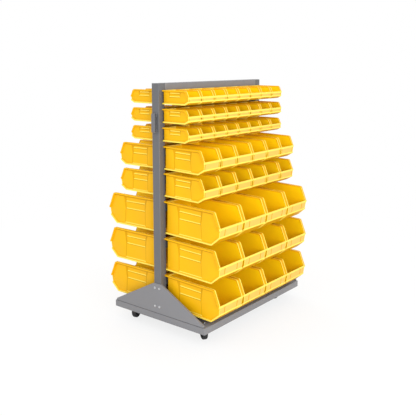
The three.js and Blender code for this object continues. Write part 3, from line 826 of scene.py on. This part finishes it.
def bin_ledges(size):
    """The ledge along the foot of the sides and the front, and the cheek up each end of the front."""
    bm = bmesh.new()
    half = (size.wall_half + PANEL_PROUD) * (1 - DRAFT_SHARE)
    back, foot, rise = size.back - LEDGE_BACK, size.front_foot, size.foot_rise
    out, root, top = foot + LEDGE_FRONT, foot - LEDGE_BITE, rise + LEDGE_HEIGHT
    strip = [
        (back, 0), (size.floor_end, 0), (out, rise), (out, top), (root, top),
        (size.floor_end - LEDGE_SLANT, LEDGE_HEIGHT), (back, LEDGE_HEIGHT),
    ]
    cheek_top = size.lip - CHEEK_BELOW_LIP
    cheek = [
        (foot - CHEEK_FOOT_BACK, rise), (foot + CHEEK_FOOT_FRONT, rise),
        (size.length, cheek_top), (size.length - CHEEK_SHEET, cheek_top),
    ]
    for side in (-1, 1):
        prism(bm, strip, *sorted((side * (half - LEDGE_BITE), side * (half + LEDGE_OUT))))
        for vert in prism(bm, cheek, *sorted((side * (half - LEDGE_BITE), side * (half + CHEEK_OUT)))):
            if vert.co.z < rise + NEARBY and abs(vert.co.x) > half:
                vert.co.x = side * (half + CHEEK_FOOT_OUT)
    prism(bm, [(root, rise), (out, rise), (out, top), (root, top)], -half, half)
    outwards(bm)
    round_off(bm, SMALL_ROUND, 1)
    # The ledges and cheeks are painted highlight all over
    for face in bm.faces:
        face.material_index = PAINTED_HIGHLIGHT
    return bm


def bin_mesh(name, size, droop):
    """One bin with its level hook towards -Y and its mouth towards +Y, drooping by an angle in degrees."""
    bm = bin_tub(size)
    join_into(bm, bin_rim(size))
    join_into(bm, bin_ledges(size))
    pivot = Matrix.Translation((0, 0, size.height))
    bm.transform(pivot @ Matrix.Rotation(-math.radians(droop), 4, "X") @ pivot.inverted())
    join_into(bm, bin_hook(size))
    return mesh_of(f"{name}_bin", bm, BIN_PLASTICS)


def hang_bins():
    """Hangs every bin on its rail, the back ones nearly level. Six of them ride on bodies of their own."""
    for side, facing, droop_share in (("front", math.pi, 1), ("back", 0, BACK_DROOP_SHARE)):
        templates = {name: bin_mesh(name, size, droop_share * size.droop) for name, size in BINS.items()}
        for row, (name, rim) in enumerate(zip(ROW_SIZES, RIM_HEIGHTS)):
            size = BINS[name]
            for place in range(size.count):
                along = (place - (size.count - 1) / 2) * size.pitch
                loose = place == 0 and row in LOOSE_ROWS
                where = Vector((-along, BIN_BACK, rim - size.height)) / METRE
                mesh = templates[name].copy()
                mesh.transform(Matrix.Rotation(facing, 4, "Z") @ Matrix.Translation(where))
                node = f"{side}_loose_{name}_bin" if loose else f"{side}_row_{row + 1}_bins"
                body = node if loose else "frame"
                piece(f"{side}_row_{row + 1}_bin_{place + 1}", mesh, body, [node])


# Fasteners


def flange_bolt(shank):
    """A hexagon head with its washer, seated on z = 0, and the shank below."""
    bm = bmesh.new()
    disc(bm, BOLT_HEAD_RADIUS / 2, -shank, SHANK_LAP, sides=12)
    disc(bm, WASHER_RADIUS, 0, WASHER_SHEET, sides=28)
    head = bmesh.new()
    disc(head, BOLT_HEAD_RADIUS, WASHER_SHEET, BOLT_HEAD, sides=6)
    round_off(head, SMALL_ROUND, 2)
    join_into(bm, head)
    return bm


def screw():
    """A domed screw head with its shank."""
    bm = bmesh.new()
    disc(bm, SCREW_RADIUS, -SCREW_SHANK, SHANK_LAP, sides=10)
    head = bmesh.new()
    disc(head, SCREW_HEAD_RADIUS, 0, SCREW_HEAD, sides=20, top_radius=SCREW_CROWN_RADIUS)
    round_off(head, FINE_ROUND, 2)
    join_into(bm, head)
    return bm


# Rack


def base_tray():
    """The deck with its folded edges, rounded at the bends."""
    bm = bmesh.new()
    x, y = BASE_LENGTH / 2, BASE_DEPTH / 2
    block(bm, (-x, -y, DECK_TOP - SKIRT_HEIGHT), (x, y, DECK_TOP))
    outwards(bm)
    open_faces(bm, faces_down)
    round_off(bm, TRAY_BEND, 3)
    bmesh.ops.solidify(bm, geom=bm.faces[:], thickness=TRAY_SHEET)
    piece("base_tray_sheet", mesh_of("base_tray_sheet", bm, [GREY_PAINT]), "frame", ["base_tray"])


def top_edges(bm):
    """The edges at the level of the posts' tops."""
    return [edge for edge in bm.edges if all(v.co.z > POST_TOP - NEARBY for v in edge.verts)]


def header():
    """The channel between the tops of the posts."""
    bm = bmesh.new()
    half, inner = POST_DEPTH / 2, POST_DEPTH / 2 - HEADER_WALL
    low, under = POST_TOP - HEADER_HEIGHT, POST_TOP - HEADER_WALL
    reach = POST_INNER - SEAT_GAP
    outline = [
        (-half, low), (-inner, low), (-inner, under), (inner, under),
        (inner, low), (half, low), (half, POST_TOP), (-half, POST_TOP),
    ]
    prism(bm, outline, -reach, reach)
    outwards(bm)
    bends = [edge for edge in top_edges(bm) if along_x(edge)]
    round_off(bm, HEADER_BEND, 3, bends)
    piece("header_channel", mesh_of("header_channel", bm, [GREY_PAINT]), "frame", ["header"])


def post():
    """A square tube with rounded corners and a closed top, at the left end."""
    bm = bmesh.new()
    half = POST_DEPTH / 2
    block(bm, (-POST_OUTER, -half, DECK_SEAT), (-POST_INNER, half, POST_TOP))
    outwards(bm)
    open_faces(bm, faces_down)
    round_off(bm, POST_CORNER, 4, [edge for edge in bm.edges if upright(edge)])
    round_off(bm, PLAIN_ROUND, 2, top_edges(bm))
    bmesh.ops.solidify(bm, geom=bm.faces[:], thickness=POST_WALL)
    return bm


def end_plate():
    """The triangle at the left end, with folded slopes, a strip of painted shadow along its foot and two
    foot flanges.
    """
    bm = bmesh.new()
    apex, x = POST_DEPTH / 2, -BASE_LENGTH / 2
    toe, peak, shadow_top = DECK_SEAT + PLATE_TOE, DECK_SEAT + PLATE_RISE, DECK_SEAT + PLATE_SHADOW_STRIP
    outline = [
        (-PLATE_HALF, DECK_SEAT), (PLATE_HALF, DECK_SEAT), (PLATE_HALF, toe),
        (apex, peak), (-apex, peak), (-PLATE_HALF, toe),
    ]
    prism(bm, outline, x, x + PLATE_LIP)
    outwards(bm)
    open_faces(
        bm, lambda face: face.normal.x > SQUARE_ON or faces_down(face)
        or (face.normal.z > SQUARE_ON and middle(face).z > peak - NEARBY)
    )
    round_off(bm, PLATE_BEND, 3)
    cut_all(bm, (0, 0, shadow_top), (0, 0, 1))
    bmesh.ops.solidify(bm, geom=bm.faces[:], thickness=PLATE_SHEET)
    # The faces of the strip along the foot get the painted shadow
    for face in bm.faces:
        face.material_index = int(middle(face).z < shadow_top)
    for side in (-1, 1):
        ends = sorted((side * (apex + SEAT_GAP), side * (PLATE_HALF - FLANGE_INSET)))
        low = (x + FLANGE_LAP, ends[0], DECK_SEAT)
        high = (x + FLANGE_WIDTH, ends[1], DECK_SEAT + PLATE_SHEET)
        flange = bmesh.new()
        block(flange, low, high)
        round_off(flange, PLAIN_ROUND, 2)
        join_into(bm, flange)
    return bm


def plate_bolts():
    """The four bolts of an end plate, with the plate inside the post that holds them."""
    bm = bmesh.new()
    turn = Matrix.Rotation(-math.pi / 2, 4, "Y")
    for across in (-1, 1):
        for level in (0, 1):
            height = DECK_TOP + POST_BOLT_FOOT + level * POST_BOLT_RISE
            place = Matrix.Translation((-BASE_LENGTH / 2, across * POST_BOLT_SPREAD / 2, height))
            join_into(bm, flange_bolt(POST_BOLT_SHANK), place @ turn)
    back = -POST_OUTER + POST_WALL + SEAT_GAP
    low = DECK_TOP + POST_BOLT_FOOT - STUD_PLATE_EDGE
    high = low + POST_BOLT_RISE + 2 * STUD_PLATE_EDGE
    half = POST_BOLT_SPREAD / 2 + STUD_PLATE_EDGE
    block(bm, (back, -half, low), (back + STUD_PLATE_SHEET, half, high))
    return bm


def foot_bolts():
    """The bolts that hold an end plate's foot flanges to the deck."""
    bm = bmesh.new()
    for side in (-1, 1):
        along = -BASE_LENGTH / 2 + FLANGE_WIDTH / 2
        place = (along, side * (PLATE_HALF - FOOT_BOLT_INSET), DECK_SEAT + PLATE_SHEET)
        join_into(bm, flange_bolt(FOOT_BOLT_SHANK), Matrix.Translation(place))
    return bm


def handle():
    """A bowed strip with its feet turned in, and its two screws."""
    bm = bmesh.new()
    half, bow = HANDLE_HEIGHT / 2, HANDLE_REACH - HANDLE_SHEET
    inner = half - HANDLE_SHEET
    foot = inner - HANDLE_FOOT
    outline = [
        (0, -half), (HANDLE_REACH, -half), (HANDLE_REACH, half), (0, half),
        (0, foot), (HANDLE_SHEET, foot), (HANDLE_SHEET, inner), (bow, inner),
        (bow, -inner), (HANDLE_SHEET, -inner), (HANDLE_SHEET, -foot), (0, -foot),
    ]
    prism(bm, outline, -HANDLE_WIDTH / 2, HANDLE_WIDTH / 2)
    outwards(bm)
    outside = [
        edge
        for edge in bm.edges
        if along_x(edge) and all(v.co.y > HANDLE_REACH - NEARBY for v in edge.verts)
    ]
    round_off(bm, HANDLE_BEND, 5, outside)
    inside = [
        edge
        for edge in bm.edges
        if along_x(edge)
        and all(abs(v.co.y - bow) < NEAR and abs(abs(v.co.z) - inner) < NEAR for v in edge.verts)
    ]
    round_off(bm, HANDLE_BEND - HANDLE_SHEET, 5, inside)
    round_off(bm, HANDLE_ROUND, 2)
    bm.transform(Matrix.Rotation(math.pi / 2, 4, "Z"))
    turn = Matrix.Rotation(-math.pi / 2, 4, "Y")
    for side in (-1, 1):
        place = Matrix.Translation((-HANDLE_SHEET, 0, side * (inner - HANDLE_FOOT / 2)))
        join_into(bm, screw(), place @ turn)
    bm.transform(Matrix.Translation((-POST_OUTER - SEAT_GAP, 0, HANDLE_CENTRE)))
    return bm


def rack_ends():
    """The post, end plate, bolts and handle of each end. The right end is the left one turned round."""
    for name, angle in (("left", 0), ("right", math.pi)):
        for label, make, paints, node in (
            ("post_tube", post, [POST_PAINT], "post"),
            ("triangle_plate", end_plate, [GREY_PAINT, FOOT_SHADOW_PAINT], "end_plate"),
            ("foot_bolts", foot_bolts, [ZINC], "end_plate"),
            ("plate_bolts", plate_bolts, [ZINC], "stud_plate"),
            ("bow_handle", handle, [HANDLE_PAINT], "handle"),
        ):
            mesh = mesh_of(f"{name}_{label}", make(), paints)
            mesh.transform(Matrix.Rotation(angle, 4, "Z"))
            piece(f"{name}_{label}", mesh, "frame", [f"{name}_{node}"])


# Casters


def caster_top_plate():
    """The plate under the deck, with its ball race and four bolts."""
    bm = bmesh.new()
    sheet = bmesh.new()
    x, y = TOP_PLATE_LENGTH / 2, TOP_PLATE_DEPTH / 2
    block(sheet, (-x, -y, TOP_PLATE_BOTTOM), (x, y, TOP_PLATE_TOP))
    round_off(sheet, TOP_PLATE_CORNER, 4, [edge for edge in sheet.edges if upright(edge)])
    round_off(sheet, FINE_ROUND, 1)
    join_into(bm, sheet)
    race_top = TOP_PLATE_BOTTOM + RACE_LAP
    race = [
        (RACE_BORE, RACE_BOTTOM), (RACE_RADIUS - RACE_CHAMFER, RACE_BOTTOM),
        (RACE_RADIUS, RACE_BOTTOM + RACE_CHAMFER), (RACE_RADIUS, race_top), (RACE_BORE, race_top),
    ]
    join_into(bm, turned(race, 36))
    shank = DECK_SEAT - TOP_PLATE_BOTTOM + CASTER_BOLT_END
    for along in (-1, 1):
        for across in (-1, 1):
            place = (along * CASTER_BOLT_LENGTH / 2, across * CASTER_BOLT_DEPTH / 2, DECK_SEAT)
            join_into(bm, flange_bolt(shank), Matrix.Translation(place))
    return bm


def kingpin():
    """The pin that the fork swivels on."""
    bm = bmesh.new()
    disc(bm, KINGPIN_HEAD_RADIUS, KINGPIN_HEAD_BOTTOM, KINGPIN_HEAD_TOP, sides=28)
    round_off(bm, PLAIN_ROUND, 2)
    disc(bm, KINGPIN_RADIUS, KINGPIN_HEAD_TOP, TOP_PLATE_TOP - SHANK_LAP, sides=20)
    return bm


def caster_fork():
    """Two pressed arms that lean back to the axle, joined by the crown."""
    bm = bmesh.new()
    eye = [
        (CASTER_TRAIL + EYE_RADIUS * math.cos(angle), WHEEL_RADIUS + EYE_RADIUS * math.sin(angle))
        for angle in map(math.radians, range(180, 361, 20))
    ]
    cheek = [(-FORK_HALF, CROWN_TOP), (-FORK_HALF, CROWN_TOP - FORK_CHEEK), *eye, (FORK_HALF, CROWN_TOP)]
    for side in (-1, 1):
        arm = bmesh.new()
        start = side * ARM_INNER
        prism(arm, cheek, *sorted((start, start + side * FORK_SHEET)))
        outwards(arm)
        round_off(arm, SMALL_ROUND, 2)
        join_into(bm, arm, Matrix.Rotation(-math.pi / 2, 4, "Z"))
    crown = bmesh.new()
    half = ARM_INNER + FORK_SHEET
    block(crown, (-FORK_HALF, -half, CROWN_BOTTOM), (FORK_HALF, half, CROWN_TOP))
    round_off(crown, CROWN_ROUND, 2)
    join_into(bm, crown)
    bore, edge = DUST_RING
    low = CROWN_TOP - DUST_RING_SHEET
    join_into(bm, turned([(bore, low), (edge, low), (edge, CROWN_TOP), (bore, CROWN_TOP)], 32))
    return bm


def on_axle(bm):
    """Turns a shape about Z so that it lies along the axle, at the wheel's place."""
    bm.transform(Matrix.Translation((CASTER_TRAIL, 0, WHEEL_RADIUS)) @ Matrix.Rotation(math.pi / 2, 4, "X"))
    return bm


def caster_wheel():
    """A rounded tread on a dished web and a hub."""
    half, bore = WHEEL_WIDTH / 2, AXLE_RADIUS + BORE_GAP
    hub, rim = half + HUB_PROUD, WHEEL_RADIUS - TREAD_ROUND
    tread = [
        (rim + TREAD_ROUND * math.sin(angle), half - TREAD_ROUND * (1 - math.cos(angle)))
        for angle in map(math.radians, range(0, 91, 15))
    ]
    hub_out, hub_depth = WEB_AT_HUB
    right = [
        (bore, hub), (HUB_RADIUS - HUB_CHAMFER, hub), (HUB_RADIUS, hub - HUB_CHAMFER),
        (HUB_RADIUS + hub_out, half - hub_depth),
        *((rim - inwards, half - depth) for inwards, depth in WEB_AT_RIM),
        *tread,
    ]
    left = [(radius, -height) for radius, height in reversed(right)]
    return on_axle(turned(right + left, 64))


def caster_axle():
    """The axle bolt, its head and its nut."""
    bm = bmesh.new()
    seat = ARM_INNER + FORK_SHEET + SEAT_GAP
    disc(bm, AXLE_RADIUS, -seat - AXLE_LAP, seat + AXLE_LAP, sides=20)
    for side, turn in ((-1, math.pi), (1, 0)):
        head = bmesh.new()
        disc(head, AXLE_HEAD_RADIUS, 0, AXLE_HEAD, sides=6)
        round_off(head, SMALL_ROUND, 2)
        join_into(bm, head, Matrix.Translation((0, 0, side * seat)) @ Matrix.Rotation(turn, 4, "X"))
    return on_axle(bm)


def casters():
    """Four swivel casters, each with its fork and wheel on bodies of their own."""
    for name, (x, y, heading) in CASTERS.items():
        still = Matrix.Translation(Vector((x, y, 0)) / METRE)
        swung = still @ Matrix.Rotation(math.radians(heading), 4, "Z")
        for label, make, material, body, place in (
            ("top_plate", caster_top_plate, ZINC, "frame", still),
            ("kingpin", kingpin, ZINC, "frame", still),
            ("fork", caster_fork, ZINC, f"{name}_fork", swung),
            ("axle", caster_axle, ZINC, f"{name}_fork", swung),
            ("wheel", caster_wheel, BLACK_TREAD, f"{name}_wheel", swung),
        ):
            mesh = mesh_of(f"{name}_{label}_shown", make(), [material])
            mesh.transform(place)
            piece(f"{name}_{label}_shown", mesh, body, [f"{name}_caster_{label}"])


# Room, lights and camera


def paint_cad_nodes():
    """Gives the CAD nodes that stay, which are the cross rails, their near-black paint, which is painted
    shade for the gap behind the bins.
    """
    for name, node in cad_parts.items():
        if name.startswith("cross_rail"):
            node.data.materials.clear()
            node.data.materials.append(RAIL_SHADE_PAINT)


def pale_floor():
    """A round floor that glows for the camera alone, most of all away from the rack, where it is white."""
    bm = bmesh.new()
    bmesh.ops.create_circle(bm, cap_ends=True, segments=64, radius=FLOOR_RADIUS)
    mesh = bpy.data.meshes.new("studio_floor")
    bm.to_mesh(mesh)
    bm.free()
    material = bpy.data.materials.new("studio_floor")
    material.use_nodes = True
    nodes, links = material.node_tree.nodes, material.node_tree.links
    paint = nodes["Principled BSDF"]
    paint.inputs["Base Color"].default_value = FLOOR_COLOUR
    paint.inputs["Roughness"].default_value = FLOOR_ROUGHNESS
    place = nodes.new("ShaderNodeTexCoord")
    distance = nodes.new("ShaderNodeVectorMath")
    distance.operation = "LENGTH"
    fade = nodes.new("ShaderNodeMapRange")
    fade.inputs["From Min"].default_value = FLOOR_FADE[0]
    fade.inputs["From Max"].default_value = FLOOR_FADE[1]
    fade.inputs["To Min"].default_value = FLOOR_GLOW
    glow = nodes.new("ShaderNodeEmission")
    sight = nodes.new("ShaderNodeLightPath")
    share = nodes.new("ShaderNodeMath")
    share.operation = "MULTIPLY"
    mix = nodes.new("ShaderNodeMixShader")
    links.new(place.outputs["Object"], distance.inputs[0])
    links.new(distance.outputs["Value"], fade.inputs["Value"])
    links.new(sight.outputs["Is Camera Ray"], share.inputs[0])
    links.new(fade.outputs["Result"], share.inputs[1])
    links.new(share.outputs[0], mix.inputs[0])
    links.new(paint.outputs[0], mix.inputs[1])
    links.new(glow.outputs[0], mix.inputs[2])
    links.new(mix.outputs[0], nodes["Material Output"].inputs["Surface"])
    mesh.materials.append(material)
    floor = bpy.data.objects.new("studio_floor", mesh)
    bpy.context.scene.collection.objects.link(floor)


def studio_world():
    """Even white light, a little stronger than the white that the camera and the reflections see."""
    world = bpy.data.worlds.new("studio")
    world.use_nodes = True
    nodes, links = world.node_tree.nodes, world.node_tree.links
    light = nodes["Background"]
    light.inputs["Color"].default_value = WHITE
    light.inputs["Strength"].default_value = WORLD_STRENGTH
    seen = nodes.new("ShaderNodeBackground")
    seen.inputs["Color"].default_value = WHITE
    seen.inputs["Strength"].default_value = 1
    sight = nodes.new("ShaderNodeLightPath")
    either = nodes.new("ShaderNodeMath")
    either.operation = "MAXIMUM"
    mix = nodes.new("ShaderNodeMixShader")
    links.new(sight.outputs["Is Camera Ray"], either.inputs[0])
    links.new(sight.outputs["Is Glossy Ray"], either.inputs[1])
    links.new(either.outputs[0], mix.inputs[0])
    links.new(light.outputs[0], mix.inputs[1])
    links.new(seen.outputs[0], mix.inputs[2])
    links.new(mix.outputs[0], nodes["World Output"].inputs["Surface"])
    bpy.context.scene.world = world


def softbox(name, place, size, power):
    """A square area light that faces the middle of the rack."""
    data = bpy.data.lights.new(name, "AREA")
    data.size = size
    data.energy = power
    lamp = bpy.data.objects.new(name, data)
    lamp.location = place
    aim = Vector(SOFTBOX_AIM) - Vector(place)
    lamp.rotation_euler = aim.to_track_quat("-Z", "Y").to_euler()
    bpy.context.scene.collection.objects.link(lamp)


def camera():
    """The camera at the place and with the lens and shift that fit the photograph."""
    data = bpy.data.cameras.new("photo_camera")
    data.lens = CAMERA_LENS
    data.sensor_width = CAMERA_SENSOR
    data.shift_y = CAMERA_SHIFT
    shown = bpy.data.objects.new("photo_camera", data)
    shown.location = CAMERA_PLACE
    shown.rotation_euler = (math.pi / 2 + CAMERA_PITCH, 0, -CAMERA_YAW)
    bpy.context.scene.collection.objects.link(shown)
    bpy.context.scene.camera = shown


camera()
studio_world()
pale_floor()
for lamp_name, facts in SOFTBOXES.items():
    softbox(lamp_name, *facts)
bpy.context.scene.view_settings.view_transform = "Standard"

paint_cad_nodes()
base_tray()
header()
rack_ends()
casters()
hang_bins()
